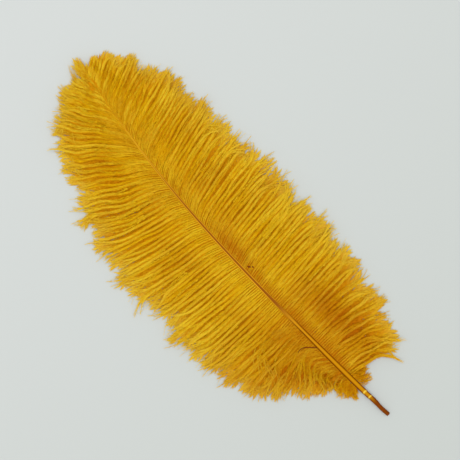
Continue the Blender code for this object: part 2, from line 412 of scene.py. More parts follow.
# %% Gather the barbs of one side
BASE_THINNING = {LEFT: 0.45, RIGHT: 0.25}    # how much shorter the barbules are at the base
STRAND_REACH, BARB_REACH = (0.88, 1.06), (0.84, 1.05)
FLICK, END_FLICK = 4, 18                     # degrees that single barbs stray, all along and at their ends
HOLD, LOOSER, LATER = 0.76, 0.20, 0.22       # how tightly strands gather; looser, later at the tip
STRAND_TINT, BARB_TINT = (0, 0.7), (-0.25, 0.45)


def gather_barbs(side, seed):
    """Paths of one side's barbs in their strands, with what the dye and the painted shade need to know of
    each.
    """
    rng = np.random.default_rng(seed)
    n = BARBS_PER_SIDE
    u, strand = share_out(n, rng)
    strands = strand.max() + 1
    middle_u = np.bincount(strand, u) / np.bincount(strand)
    lock = lock_of(middle_u)
    reach, lift = lock_traits(side)[lock][:, 0], lock_traits(side)[lock][:, 2]
    turn = strand_turns(side, middle_u, lock, rng) + parting_turns(side, middle_u)
    strand_reach = (1 + LOCK_REACH * (reach - 1)) * rng.uniform(*STRAND_REACH, strands)
    spine = lay_barbs(side, middle_u, strand_reach, np.radians(turn))
    flick = rng.normal(0, FLICK, n)[:, None] * ALONG ** 2
    flick = flick + rng.normal(0, END_FLICK, n)[:, None] * ALONG ** 6
    barb_reach = strand_reach[strand] * rng.uniform(*BARB_REACH, n)
    barbs = lay_barbs(side, u, barb_reach, np.radians(turn[strand] + flick))
    later = LATER * smooth((u - 0.55) / 0.25)[:, None]
    pull = smooth((ALONG - 0.05 - later) / 0.4) * (1 - 0.3 * smooth((ALONG - 0.8) / 0.2))
    hold = HOLD - LOOSER * smooth((u - 0.60) / 0.25)
    paths = barbs + (spine[strand] - barbs) * (hold[:, None] * pull)[..., None]
    paths, upward = wind_round(paths, strand, rng)
    layer, rise = strand_heights(middle_u, lock, lift, rng)
    paths[..., 2] = np.maximum(paths[..., 2] + rise[strand], SMALLEST_HEIGHT)
    # from_middle sets the painted shade between strands, weaker low on the vane
    apart = smooth((ALONG - later) / 0.3) * (1 - smooth((ALONG - 0.65) / 0.3))
    from_middle = ((paths - spine[strand]) * frames_along(spine)[1][strand]).sum(-1) * apart
    from_middle *= (0.68 + 0.32 * smooth((u - 0.42) / 0.15))[:, None]
    tint = rng.uniform(*STRAND_TINT, strands)[strand] + rng.uniform(*BARB_TINT, n)
    # painted shade: the strands are darker towards the tip
    tint -= 0.3 * smooth((u - 0.62) / 0.22)
    # over sets the painted highlight, from_middle the painted shade
    return {
        "u": u, "paths": paths, "tint": tint, "over": layer[strand] + upward, "from_middle": from_middle,
        "warm": deeper_dye_and_shade(side, u), "fluff": 1 - BASE_THINNING[side] * smooth(base_curl(u) * 1.5),
    }


vanes = {LEFT: gather_barbs(LEFT, 21), RIGHT: gather_barbs(RIGHT, 22)}
print("upper barbs laid out:", sum(len(vane["u"]) for vane in vanes.values()))

# %% [markdown]
# ## The lower layer
# Light would fall through between the strands, but in a real plume more barbs lie below them and
# close the vane. As many again would be too heavy. Fewer barbs with wide barbules do, because only
# their colour shows. That colour is painted shade: deeper and warmer than the strands above, except
# at their free ends.

# %% Lay the lower barbs
LOWER_BARBS = 162
LOWER_DEPTH = 0.0011
LOWER_OVER, LOWER_FROM_MIDDLE = -0.0012, 0.0019   # painted shade: read as low and between the strands, so the lower barbs take the gap shade
LOWER_ASIDE = -0.4                                # their roots lie past the shaft's axis, hidden in it
# painted shade: deeper, warmer colour on the lower barbs, fading towards their free ends
LOWER_SHADE_WARMTH = 0.45


def lower_layer(side, seed):
    """Fewer, wider and deeper barbs that close the vane below its strands."""
    rng = np.random.default_rng(seed)
    n = LOWER_BARBS
    u = 0.02 + 0.95 * (np.arange(n) + 0.5 + rng.uniform(-0.3, 0.3, n)) / n
    lock = lock_of(u)
    turn = strand_turns(side, u, lock, rng)
    reach = (1 + LOCK_REACH * (lock_traits(side)[lock][:, 0] - 1)) * rng.uniform(0.84, 0.95, n)
    paths = lay_barbs(side, u, reach, np.radians(turn), aside=LOWER_ASIDE)
    paths[..., 2] = np.maximum(paths[..., 2] - LOWER_DEPTH, SMALLEST_HEIGHT)
    fading = (1 - smooth((ALONG - 0.50) / 0.35)) * (1 - 0.8 * smooth((u - 0.75) / 0.15))[:, None]
    return {
        "u": u, "paths": paths, "tint": rng.uniform(0, 0.5, n),
        "over": np.full((n, BARB_STATIONS), LOWER_OVER),
        "from_middle": np.full((n, BARB_STATIONS), LOWER_FROM_MIDDLE),
        "warm": deeper_dye_and_shade(side, u) + LOWER_SHADE_WARMTH * fading,
    }


lower = {LEFT: lower_layer(LEFT, 23), RIGHT: lower_layer(RIGHT, 24)}
print("lower barbs laid out:", sum(len(vane["u"]) for vane in lower.values()))

# %% [markdown]
# ## Down at the base and a tuft at the tip
# Below the vanes the barbs are short, curly down, and past the shaft's thin end the last barbs make a
# small pointed tuft. Neither follows the rule of the vanes, so they are laid from free starting
# points, with a heading, a length and a curl of their own.

# %% Lay the down and the tuft
TUFT_BARBS, TUFT_LENGTH, TUFT_FROM = 54, 0.0270, 0.935
TUFT_SPREAD, TUFT_TURN = 18.0, 9.0       # degrees
DOWN_BARBS, DOWN_LEFT_SHARE = 180, 0.68
DOWN_FROM, DOWN_TO = 0.098, {LEFT: 0.230, RIGHT: 0.155}
DOWN_LENGTH = (0.008, 0.023)


def lay_free_barbs(roots, heading, length, turn, end_height):
    """Paths from free roots: heading in radians from +X, turn in radians added along the length."""
    forward, aside = walk(heading[:, None] + turn, length)
    z = roots[:, 2:3] + (end_height - roots[:, 2])[:, None] * smooth(ALONG)
    return np.stack([roots[:, :1] + forward, roots[:, 1:2] + aside, z], -1)


def loose_barbs(paths, rng, tint=(0.2, 0.9)):
    """Barbs that belong to no strand, each with a tint of its own."""
    n = len(paths)
    nothing = np.zeros((n, BARB_STATIONS))
    tints = rng.uniform(*tint, n)
    return {"paths": paths, "tint": tints, "over": nothing, "from_middle": nothing, "warm": nothing}


def tip_tuft(seed):
    rng = np.random.default_rng(seed)
    n = TUFT_BARBS
    t = rng.uniform(TUFT_FROM, 0.998, n)
    angle = np.sort(rng.uniform(-1.5, 1, n)) * TUFT_SPREAD
    heading = shaft_heading(t) + np.radians(TUFT_TURN + angle)
    turn = np.radians(rng.uniform(-14, 14, n)[:, None] * ALONG - 0.5 * angle[:, None] * ALONG)
    length = TUFT_LENGTH * rng.uniform(0.72, 1.0, n) * (1 - 0.25 * np.abs(angle) / TUFT_SPREAD)
    paths = lay_free_barbs(shaft_point(t), heading, length, turn, rng.uniform(0.003, 0.006, n))
    return loose_barbs(paths, rng, tint=(0.7, 1.5))


def base_down(seed):
    rng = np.random.default_rng(seed)
    n = DOWN_BARBS
    side = np.where(rng.uniform(0, 1, n) < DOWN_LEFT_SHARE, LEFT, RIGHT)
    on_left, on_right = (rng.uniform(DOWN_FROM, DOWN_TO[which], n) for which in (LEFT, RIGHT))
    t = np.where(side == LEFT, on_left, on_right)
    root = shaft_point(t)
    heading = shaft_heading(t) + side * np.radians(rng.uniform(80, 125, n))
    root[:, 0] += 0.8 * quill_radius(t) * np.cos(heading)
    root[:, 1] += 0.8 * quill_radius(t) * np.sin(heading)
    curl = rng.uniform(-70, 70, n)[:, None] * ALONG ** 2
    curl = curl + 30 * np.sin(6 * ALONG + rng.uniform(0, 6, n)[:, None])
    turn = np.radians(curl + 25 * side[:, None] * ALONG)
    length = rng.uniform(*DOWN_LENGTH, n) * (0.6 + 0.4 * smooth((t - DOWN_FROM) / 0.04))
    paths = lay_free_barbs(root, heading, length, turn, rng.uniform(0.001, 0.004, n))
    down = loose_barbs(paths, rng, tint=(0.0, 0.8))
    # deeper towards the roots: partly the down's own dye, partly painted shade
    down["warm"] = down["warm"] + 0.30 * (1 - ALONG)
    return down


tuft, down = tip_tuft(31), base_down(32)
print("barbs in the tuft and the down:", len(tuft["paths"]), len(down["paths"]))

# %% [markdown]
# ## A wisp, curls and hairs
# A handled plume is never quite tidy. One pointed wisp on the left of the tip curls forward, fine
# barbs curl over the base of the left vane, and single hairs cross at the edges. They follow the
# vanes' own rule with a stronger turn, so they grow where real barbs do.

# %% Lay the loose barbs
WISP_BARBS, WISP_AT, WISP_LENGTH = 8, (0.885, 0.905), 0.055
WISP_BEND = 48                           # degrees
CURLS, CURLS_AT = 56, (0.0, 0.20)
CURL_SWEEP = (-42, 43)                   # degrees at the root and from four fifths of the length on
HAIRS, HAIRS_AT = {LEFT: 80, RIGHT: 50}, (0.22, 0.93)


def stray_wisp(seed):
    """One pointed bundle on the left of the tip that curls forward on its own."""
    rng = np.random.default_rng(seed)
    u = rng.uniform(*WISP_AT, WISP_BARBS)
    turn = rng.normal(3, 1.5, WISP_BARBS)[:, None] - WISP_BEND * ALONG ** 1.4
    length = from_rows(BARB_LENGTH[LEFT], u, 1) / 1000
    reach = WISP_LENGTH * rng.uniform(0.86, 1.0, WISP_BARBS) / length
    paths = lay_barbs(LEFT, u, reach, np.radians(turn))
    paths[..., 2] = np.maximum(paths[..., 2], 0.002)
    wisp = loose_barbs(paths, rng, tint=(-0.3, 0.6))
    wisp["warm"] = wisp["warm"] + 0.15
    return wisp


def base_curls(seed):
    """Fine barbs that leave the shaft forward and bend back over the base of the left vane."""
    rng = np.random.default_rng(seed)
    u = np.sort(rng.uniform(*CURLS_AT, CURLS))
    swirl = waves(1.2, 7 * u[:, None] + rng.uniform(-0.12, 0.12, CURLS)[:, None])
    turn = 16 * swirl * smooth(ALONG / 0.3) + rng.uniform(-24, 24, CURLS)[:, None] * ALONG
    turn += CURL_SWEEP[0] + (CURL_SWEEP[1] - CURL_SWEEP[0]) * smooth(ALONG / 0.8)
    paths = lay_barbs(LEFT, u, rng.uniform(0.60, 0.98, CURLS), np.radians(turn))
    paths[..., 2] += rng.uniform(0.0010, 0.0030, CURLS)[:, None] * smooth((ALONG - 0.1) / 0.3)
    curls = loose_barbs(paths, rng, tint=(-0.7, 1.0))
    # deeper towards the roots: partly the curls' own dye, partly painted shade
    curls["warm"] = curls["warm"] + 0.40 * (1 - 0.5 * ALONG)
    return curls


def edge_hairs(side, count, seed):
    """Single barbs that reach a little past the strands and cross them at the edge of a vane."""
    rng = np.random.default_rng(seed)
    u = np.sort(rng.uniform(*HAIRS_AT, count))
    turn = strand_turns(side, u, lock_of(u), rng)
    turn += rng.normal(0, 5, count)[:, None] * smooth(ALONG / 0.6)
    turn += rng.normal(0, 22, count)[:, None] * smooth((ALONG - 0.6) / 0.4)
    paths = lay_barbs(side, u, rng.uniform(0.93, 1.06, count), np.radians(turn))
    paths[..., 2] += rng.uniform(0.0004, 0.0022, count)[:, None] * smooth(ALONG / 0.4)
    return loose_barbs(paths, rng)


wisp, curls = stray_wisp(35), base_curls(36)
hairs = {side: edge_hairs(side, HAIRS[side], 40 + side) for side in (LEFT, RIGHT)}
print("wisp, curls and hairs:", len(wisp["paths"]), len(curls["paths"]), sum(HAIRS.values()))

# %% [markdown]
# ## Barbules
# Each barb carries soft barbules on both sides. They leave it at an angle and then lie down along it,
# like the hairs of a brush, which is what makes a strand look silky. Hair curves would be lost in the
# export. A barbule here is a small kite of two triangles, cheap enough to have hundreds on a barb.

# %% Kinds of barbules
# sizes in metres, angles in degrees; lean is round the barb, first is off the barb at the root,
# and at_root and at_end are shares of the full length near the barb's two ends
UPPER_BARBULES = {
    "pitch": 0.000158, "length": 0.0052, "width": 0.00034, "lean": (-45, 50), "first": (6, 24),
    "at_root": 0.40, "at_end": 0.4}
LOWER_BARBULES = {
    "pitch": 0.00026, "length": 0.0085, "width": 0.00120, "lean": (-20, 8), "first": (18, 55),
    "at_root": 0.9, "at_end": 0.75}
LOOSE_BARBULES = {
    "pitch": 0.00016, "length": 0.0042, "width": 0.00030, "lean": (-60, 60), "first": (12, 45),
    "at_root": 0.6, "at_end": 0.4}
FINE_BARBULES = {
    "pitch": 0.00020, "length": 0.0026, "width": 0.00024, "lean": (-50, 55), "first": (8, 30),
    "at_root": 0.5, "at_end": 0.4}
print("barbules on a centimetre of an upper barb:", round(0.01 / UPPER_BARBULES["pitch"]))

# %% [markdown]
# ## How a barbule grows
# All barbules of a piece are worked out together, as arrays with one row each. Every one gets an
# owner, a place on it and a side. Its middle and its tip are then two short steps from its root, the
# second one flatter than the first.

# %% Grow barbules along the barbs
LOWEST_POINT = 0.0002
FROM_ROOT = 0.05                         # share of the barbules that start right at the shaft
SINK = 0.35                              # how much a barbule's outer half bends down
MOST_TWIST = 35                          # degrees


def reader_along(owner, v):
    """A function that reads values given at the stations of barbs, at place v of each owner."""
    at = v * (BARB_STATIONS - 1)
    low = np.minimum(at.astype(int), BARB_STATIONS - 2)
    share = (at - low)[:, None]

    def along(values):
        return values[owner, low] * (1 - share) + values[owner, low + 1] * share

    return along


def grow_barbules(barbs, seed, pitch, length, width, lean, first, at_root, at_end, start=0.0):
    """Kites of four points (root, two sides, tip) for the barbules of some barbs, with their attributes."""
    rng = np.random.default_rng(seed)
    paths = barbs["paths"]
    tangent, aside, up = frames_along(paths)
    sizes = np.linalg.norm(np.diff(paths, axis=1), axis=-1).sum(1)
    owner = np.repeat(np.arange(len(paths)), (sizes * (1 - start) / pitch).astype(int))
    n = len(owner)
    v = np.maximum(rng.uniform(start - FROM_ROOT, 1.0, n), start)
    along = reader_along(owner, v)
    root, t_dir, b_dir, n_dir = along(paths), along(tangent), along(aside), along(up)
    side = rng.choice([-1.0, 1.0], n)[:, None]
    roll = np.radians(rng.uniform(*lean, n))[:, None]
    out = b_dir * side * np.cos(roll) + n_dir * np.sin(roll)
    face = n_dir * np.cos(roll) - b_dir * side * np.sin(roll)
    towards_end = 1 - (1 - at_end) * smooth((v - 0.7) / 0.3)
    profile = (at_root + (1 - at_root) * smooth(v / 0.22)) * towards_end
    fluff = barbs["fluff"][owner] if "fluff" in barbs else 1.0
    size = (length * profile * fluff * rng.uniform(0.7, 1.25, n))[:, None]
    leaving = rng.uniform(*first, n) * towards_end * (0.6 + 0.4 * smooth(v / 0.2))
    leaving = np.radians(leaving)[:, None]
    lying = leaving * rng.uniform(0.1, 0.6, n)[:, None]
    middle = root + size * 0.5 * (t_dir * np.cos(leaving) + out * np.sin(leaving))
    tip = middle + size * 0.5 * (t_dir * np.cos(lying) + (out - SINK * n_dir) * np.sin(lying))
    twist = np.radians(rng.uniform(-MOST_TWIST, MOST_TWIST, n))[:, None]
    run = (tip - root) / np.linalg.norm(tip - root, axis=1, keepdims=True)
    across = np.cross(run, face) * np.cos(twist) + face * np.sin(twist)
    half = (0.5 * width * rng.uniform(0.7, 1.2, n) * (0.55 + 0.45 * profile))[:, None]
    points = np.stack([root, middle - across * half, middle + across * half, tip], 1)
    points[..., 2] = np.maximum(points[..., 2], LOWEST_POINT)
    reach_out = ((points - root[:, None]) * b_dir[:, None]).sum(-1) * (2 - smooth(v / 0.25))[:, None]
    tint = barbs["tint"][owner] + rng.normal(0, 0.25, n) - 0.4 * (1 - smooth(v / 0.3))
    return {
        "points": points,
        "along": np.repeat(v[:, None], 4, 1),
        "over": along(barbs["over"][..., None]) + (points[..., 2] - root[:, 2:3]),
        "from_middle": np.abs(along(barbs["from_middle"][..., None]) + reach_out),
        "warm": np.repeat(along(barbs["warm"][..., None]), 4, 1),
        "tint": np.repeat(tint[:, None], 4, 1),
    }


print("barbules of the tuft:", len(grow_barbules(tuft, 0, **LOOSE_BARBULES)["points"]))

# %% [markdown]
# ## One mesh from many kites and tubes
# Blender makes a mesh fastest when whole arrays are handed over with foreach_set. The barbs become
# thin tubes of three sides. Both get a map named OFBake, in which each kite and each tube has a small
# cell of its own, so that its colours can be baked.

# %% Turn kites and tubes into a mesh object
def tube_rings(paths, radius):
    """Points of three-sided tubes along the paths, (barbs, stations, 3 corners, 3)."""
    _, aside, up = frames_along(paths)
    rings = []
    for corner in range(3):
        angle = 2 * math.pi * corner / 3 + math.pi / 2
        rings.append(paths + radius[..., None] * (aside * math.cos(angle) + up * math.sin(angle)))
    return np.stack(rings, 2)


def kite_faces(count):
    """Loop indices and sizes for kites of two triangles each."""
    first = 4 * np.arange(count)[:, None]
    loops = np.concatenate([first + (0, 2, 1), first + (1, 2, 3)], 1)
    return loops.ravel(), np.full(2 * count, 3)


def tube_faces(count, stations):
    """Loop indices and sizes for the walls of three-sided tubes."""
    first = 3 * stations * np.arange(count)[:, None, None]
    step = 3 * np.arange(stations - 1)[None, :, None]
    walls = []
    for a in range(3):
        b = (a + 1) % 3
        walls.append(first + step + np.array([a, b, 3 + b, 3 + a]))
    return np.concatenate(walls, 2).ravel(), np.full(3 * count * (stations - 1), 4)


def cell_map(loops, cell, u, v, cells):
    """Bake coordinates: each kite or tube fills the middle of its own cell in a square grid."""
    grid = math.ceil(math.sqrt(cells))
    column, row = cell % grid, cell // grid
    place = np.stack([(column + 0.2 + 0.6 * u) / grid, (row + 0.2 + 0.6 * v) / grid], 1)
    return place[loops]


def add_to_scene(name, data):
    thing = bpy.data.objects.new(name, data)
    bpy.context.scene.collection.objects.link(thing)
    return thing


def mesh_object(name, points, loops, sizes, attributes, places):
    mesh = bpy.data.meshes.new(name)
    mesh.vertices.add(len(points))
    mesh.vertices.foreach_set("co", points.astype(np.float32).ravel())
    mesh.loops.add(len(loops))
    mesh.loops.foreach_set("vertex_index", loops.astype(np.int32))
    mesh.polygons.add(len(sizes))
    starts = np.concatenate([[0], np.cumsum(sizes)[:-1]])
    mesh.polygons.foreach_set("loop_start", starts.astype(np.int32))
    for label, values in attributes.items():
        layer = mesh.attributes.new(label, "FLOAT", "POINT")
        layer.data.foreach_set("value", values.astype(np.float32))
    layer = mesh.uv_layers.new(name="OFBake")
    layer.data.foreach_set("uv", places.astype(np.float32).ravel())
    mesh.update(calc_edges=True)
    mesh.shade_smooth()
    print(name, "triangles", int((sizes - 2).sum()))
    return add_to_scene(name, mesh)


print("faces of one full barb as a tube:", len(tube_faces(1, BARB_STATIONS)[1]))

# %% [markdown]
# ## Pieces of the plume
# A piece is one mesh of one or more layers, each a set of barbs with a kind of barbule. A layer first
# becomes two patches, one of kites and one of tubes. Joining the patches is then only a matter of
# shifting their numbers, so that no two share a corner or a bake cell.

# %% Join layers of barbs into a piece
LABELS = ("along", "over", "tint", "from_middle", "warm")
BARB_RADIUS = 0.00016
BARB_TAPER = 0.8
EVERY_OTHER = ALONG[::2]                 # a barb is so thin that half of its stations do for its tube


def barbule_patch(barbules):
    """What a mesh needs of some barbules, with one bake cell for each."""
    count = len(barbules["points"])
    loops, sizes = kite_faces(count)
    patch = {label: barbules[label].ravel() for label in LABELS}
    patch.update(points=barbules["points"].reshape(-1, 3), loops=loops, sizes=sizes)
    patch.update(cell=np.repeat(np.arange(count), 4), u=np.tile([0, 0.5, 0.5, 1.0], count),
                 v=np.tile([0.5, 0, 1.0, 0.5], count))
    return patch


def barb_patch(barbs):
    """The same for the barbs themselves, as thin tapering tubes."""
    count, stations = len(barbs["paths"]), len(EVERY_OTHER)
    ones = np.ones((count, stations, 3))
    radius = BARB_RADIUS * (1 - BARB_TAPER * EVERY_OTHER) * ones[..., 0]
    rings = tube_rings(barbs["paths"][:, ::2], radius)
    loops, sizes = tube_faces(count, stations)
    patch = {
        "along": EVERY_OTHER[None, :, None] * ones,
        "over": barbs["over"][:, ::2, None] * ones,
        "tint": barbs["tint"][:, None, None] * ones,
        "from_middle": np.abs(barbs["from_middle"])[:, ::2, None] * ones,
        "warm": barbs["warm"][:, ::2, None] * ones,
    }
    patch = {label: values.ravel() for label, values in patch.items()}
    patch.update(points=rings.reshape(-1, 3), loops=loops, sizes=sizes)
    patch.update(cell=np.repeat(np.arange(count), 3 * stations), u=patch["along"],
                 v=np.tile([0, 0.5, 1.0], count * stations))
    return patch


def plume_piece(name, layers):
    """A piece of the plume: layers of barbs with all their barbules, as one mesh."""
    patches = []
    for number, (barbs, growth) in enumerate(layers):
        patches.append(barbule_patch(grow_barbules(barbs, number + len(name), **growth)))
        patches.append(barb_patch(barbs))
    corner_shift = np.cumsum([0] + [len(patch["points"]) for patch in patches])
    cell_shift = np.cumsum([0] + [patch["cell"].max() + 1 for patch in patches])
    loops = np.concatenate([patch["loops"] + shift for patch, shift in zip(patches, corner_shift)])
    cell = np.concatenate([patch["cell"] + shift for patch, shift in zip(patches, cell_shift)])
    joined = {label: np.concatenate([patch[label] for patch in patches])
              for label in LABELS + ("points", "sizes", "u", "v")}
    places = cell_map(loops, cell, joined["u"], joined["v"], int(cell_shift[-1]))
    attributes = {label: joined[label] for label in LABELS}
    for label in ("over", "from_middle"):
        attributes[label] = 1000 * attributes[label]
    return mesh_object(name, joined["points"], loops, joined["sizes"], attributes, places)


print("stations that a barb's tube keeps:", len(EVERY_OTHER))

# %% [markdown]
# ## Small helpers for shader nodes
# Two finishes follow, dye on barbs and horn. Both blend colours where some value changes, and node by
# node that would be long and hard to read. So they share a few helpers: a colour as the screen shows
# it, a soft step, a blend of two colours, and a node group that starts with its named sockets.

# %% Helpers for node groups
def rgb(red, green, blue):
    """A colour as seen on screen, from 0 to 255, as Blender's linear values."""
    def linear(c):
        c /= 255
        return c / 12.92 if c <= 0.04045 else ((c + 0.055) / 1.055) ** 2.4
    return (linear(red), linear(green), linear(blue), 1.0)


def remap(tree, value, low, high, first=0.0, last=1.0):
    """A soft step from first to last, while the value runs from low to high."""
    node = tree.nodes.new("ShaderNodeMapRange")
    node.interpolation_type = "SMOOTHSTEP"
    for socket, number in (("From Min", low), ("From Max", high), ("To Min", first), ("To Max", last)):
        node.inputs[socket].default_value = number
    tree.links.new(value, node.inputs["Value"])
    return node.outputs["Result"]


def blend(tree, factor, first, second):
    """The first colour where the factor is 0 and the second where it is 1."""
    node = tree.nodes.new("ShaderNodeMix")
    node.data_type = "RGBA"
    tree.links.new(factor, node.inputs["Factor"])
    tree.links.new(first, node.inputs["A"])
    tree.links.new(second, node.inputs["B"])
    return node.outputs["Result"]


def arithmetic(tree, operation, first, second):
    node = tree.nodes.new("ShaderNodeMath")
    node.operation = operation
    tree.links.new(first, node.inputs[0])
    tree.links.new(second, node.inputs[1])
    return node.outputs["Value"]


def new_group(name, numbers, colours, gives):
    """A node group with these inputs, and with (name, kind) outputs, and its two end nodes."""
    group = bpy.data.node_groups.new(name, "ShaderNodeTree")
    for label in numbers:
        group.interface.new_socket(label, in_out="INPUT", socket_type="NodeSocketFloat")
    for label in colours:
        group.interface.new_socket(label, in_out="INPUT", socket_type="NodeSocketColor")
    for label, kind in gives:
        group.interface.new_socket(label, in_out="OUTPUT", socket_type="NodeSocket" + kind)
    given, out = group.nodes.new("NodeGroupInput"), group.nodes.new("NodeGroupOutput")
    return group, given.outputs, out.inputs


def place_group(material, group, attributes, colours):
    """Put a group in a material, fed with the mesh's attributes, and set its colours."""
    tree = material.node_tree
    recipe = tree.nodes.new("ShaderNodeGroup")
    recipe.node_tree = group
    for socket, label in attributes.items():
        reader = tree.nodes.new("ShaderNodeAttribute")
        reader.attribute_name = label
        tree.links.new(reader.outputs["Fac"], recipe.inputs[socket])
    for socket, colour in colours.items():
        recipe.inputs[socket].default_value = rgb(*colour)
    return recipe


print("golden yellow in linear light:", [round(c, 3) for c in rgb(240, 197, 8)])

# %% [markdown]
# ## Dye, painted highlight and painted shade on a feather
# Strands are painted brighter where they lie high, a painted highlight, and deeper where they lie low or
# between strands, painted shade; the fine tips are palest. One node group holds that recipe. It takes how
# far along the barb a point is, how high it lies, how far from its strand's middle, a tint and the share of
# deeper colour, and gives back a colour. A soft noise makes the dye a little uneven everywhere.

# %% A node group for the dye, the painted highlight and the painted shade
DYE_AND_SHADE_COLOURS = ("Stain", "Orange", "Deep", "Gold", "Bright", "Tip")
DYE_AND_SHADE_READS = {"Along": "along", "Over": "over", "Tint": "tint", "From Middle": "from_middle", "Warm": "warm"}
MOTTLE = 0.22                            # how much of the stain the noise adds at most
MOTTLE_STEP = (0.45, 0.72)               # each step begins at the first value and is full at the second
HIGH_STEP = (-0.6, 1.2)                  # mm over the middle height of the strands: painted highlight on high barbules, gold on low ones
PALE_STEP, DARK_STEP = (0.3, 1.3), (-0.9, 0.3)   # tint of pale strands and of dark ones
GAP_STEP = (0.52, 1.45)                  # mm from the strand's middle, where the painted shade between strands comes in
TIP_STEP = (0.75, 1.1)                   # place along the barb


def dye_and_shade_group():
    group, given, out = new_group(
        "dye_and_painted_shade_on_barbs", (*DYE_AND_SHADE_READS, "Mottle Size"), DYE_AND_SHADE_COLOURS, (("Color", "Color"),))
    nodes, links = group.nodes, group.links
    place, mottle = nodes.new("ShaderNodeTexCoord"), nodes.new("ShaderNodeTexNoise")
    mottle.inputs["Detail"].default_value = 3.0
    links.new(place.outputs["Object"], mottle.inputs["Vector"])
    links.new(given["Mottle Size"], mottle.inputs["Scale"])
    stain_and_shade_share = nodes.new("ShaderNodeMath")
    stain_and_shade_share.operation = "MULTIPLY_ADD"
    stain_and_shade_share.use_clamp = True
    stain_and_shade_share.inputs[1].default_value = MOTTLE
    links.new(remap(group, mottle.outputs["Fac"], *MOTTLE_STEP), stain_and_shade_share.inputs[0])
    links.new(given["Warm"], stain_and_shade_share.inputs[2])
    # painted highlight: high barbules take the bright colour, low ones the gold
    high = blend(group, remap(group, given["Over"], *HIGH_STEP), given["Gold"], given["Bright"])
    strand = blend(group, remap(group, given["Tint"], *PALE_STEP), high, given["Bright"])
    strand = blend(group, remap(group, given["Tint"], *DARK_STEP), given["Orange"], strand)
    # painted shade: points far from their strand's middle take the gap shade colour
    gaps = blend(group, remap(group, given["From Middle"], *GAP_STEP), strand, given["Deep"])
    ends = blend(group, remap(group, given["Along"], *TIP_STEP), gaps, given["Tip"])
    # the stain colour, and painted shade where the warm share carries it
    links.new(blend(group, stain_and_shade_share.outputs["Value"], ends, given["Stain"]), out["Color"])
    return group


dye_and_shade = dye_and_shade_group()
print("nodes in the dye group:", len(dye_and_shade.nodes))

# %% [markdown]
# ## The barbs' finish
# A barb is thin keratin: matt, with hardly a highlight, and some light passes through it. So a plain
# shader is mixed with a translucent one of the same colour. The down at the base uses the same group
# with colours of its own, a little deeper and fuller: partly its own dye and partly painted shade.

# %% The barbs' material
GLOW_SHARE = 0.25                        # share of the light that passes through a barb
MOTTLE_SIZE = 28.0


def barb_material(name, **colours):
    material = bpy.data.materials.new(name)
    material.use_nodes = True
    nodes, links = material.node_tree.nodes, material.node_tree.links
    recipe = place_group(material, dye_and_shade, DYE_AND_SHADE_READS, colours)
    recipe.inputs["Mottle Size"].default_value = MOTTLE_SIZE
    shader = nodes["Principled BSDF"]
    links.new(recipe.outputs["Color"], shader.inputs["Base Color"])
    shader.inputs["Roughness"].default_value = 0.55
    shader.inputs["Specular IOR Level"].default_value = 0.05
    glow = nodes.new("ShaderNodeBsdfTranslucent")
    links.new(recipe.outputs["Color"], glow.inputs["Color"])
    mixed = nodes.new("ShaderNodeMixShader")
    mixed.inputs["Fac"].default_value = GLOW_SHARE
    links.new(shader.outputs["BSDF"], mixed.inputs[1])
    links.new(glow.outputs["BSDF"], mixed.inputs[2])
    links.new(mixed.outputs["Shader"], nodes["Material Output"].inputs["Surface"])
    return material


golden = barb_material(
    "dyed_barbs", Stain=(206, 122, 0), Deep=(226, 162, 4), Orange=(218, 158, 0), Gold=(240, 197, 8),
    Bright=(243, 213, 48), Tip=(238, 206, 66))
# painted shade: the down's colours are deeper, partly its own dye, partly shade at the base
downy = barb_material(
    "dyed_down_painted_shade", Stain=(204, 116, 0), Deep=(212, 136, 0), Orange=(218, 150, 0), Gold=(234, 182, 0),
    Bright=(244, 204, 20), Tip=(242, 202, 24))
print("finishes of the barbs:", golden.name, downy.name)

# %% [markdown]
# ## The vanes and the loose barbs
# A vane of one mesh would be slow to handle, so each is made in three lengths. The tuft, the down and
# the loose barbs are pieces of their own, with finer barbules. The tuft, the hairs and the wisp carry
# barbules only on their outer part, because their roots lie hidden in the vane.

# %% Make the vanes and the loose barbs
THIRDS = (("lower", 0.0, 1 / 3), ("middle", 1 / 3, 2 / 3), ("upper", 2 / 3, 1.0))
BARE_ROOTS = {"tuft": 0.16, "hairs": 0.4, "wisp": 0.45}   # share of the length without barbules


def chosen_barbs(barbs, low, high):
    inside = (barbs["u"] >= low) & (barbs["u"] < high)
    return {label: values[inside] for label, values in barbs.items()}


pieces = []
for side, side_name in ((LEFT, "left"), (RIGHT, "right")):
    for third, low, high in THIRDS:
        pieces.append(plume_piece(f"{side_name}_vane_{third}", [
            (chosen_barbs(vanes[side], low, high), UPPER_BARBULES),
            (chosen_barbs(lower[side], low, high), LOWER_BARBULES)]))
pieces.append(plume_piece("tip_tuft", [(tuft, dict(LOOSE_BARBULES, start=BARE_ROOTS["tuft"]))]))
pieces.append(plume_piece("base_down", [(down, LOOSE_BARBULES)]))
pieces.append(plume_piece("loose_hairs", [
    (hairs[LEFT], dict(FINE_BARBULES, start=BARE_ROOTS["hairs"])),
    (hairs[RIGHT], dict(FINE_BARBULES, start=BARE_ROOTS["hairs"])),
    (wisp, dict(FINE_BARBULES, start=BARE_ROOTS["wisp"])),
    (curls, FINE_BARBULES)]))
for piece in pieces:
    piece.data.materials.append(downy if piece.name == "base_down" else golden)
print("pieces of barbs:", len(pieces))

# %% [markdown]
# ## The quill
# The quill is horn: round and bare below the vanes, then two low ridges with a groove between them,
# which run out to a thread. Its last centimetres were scraped thinner, which left a slanted shoulder.
# A curve with a bevel could only be round, so this is a lofted tube with a ring every few
# millimetres, and closer ones at the cut end, where the scraped stretch has flats and a slight wobble.

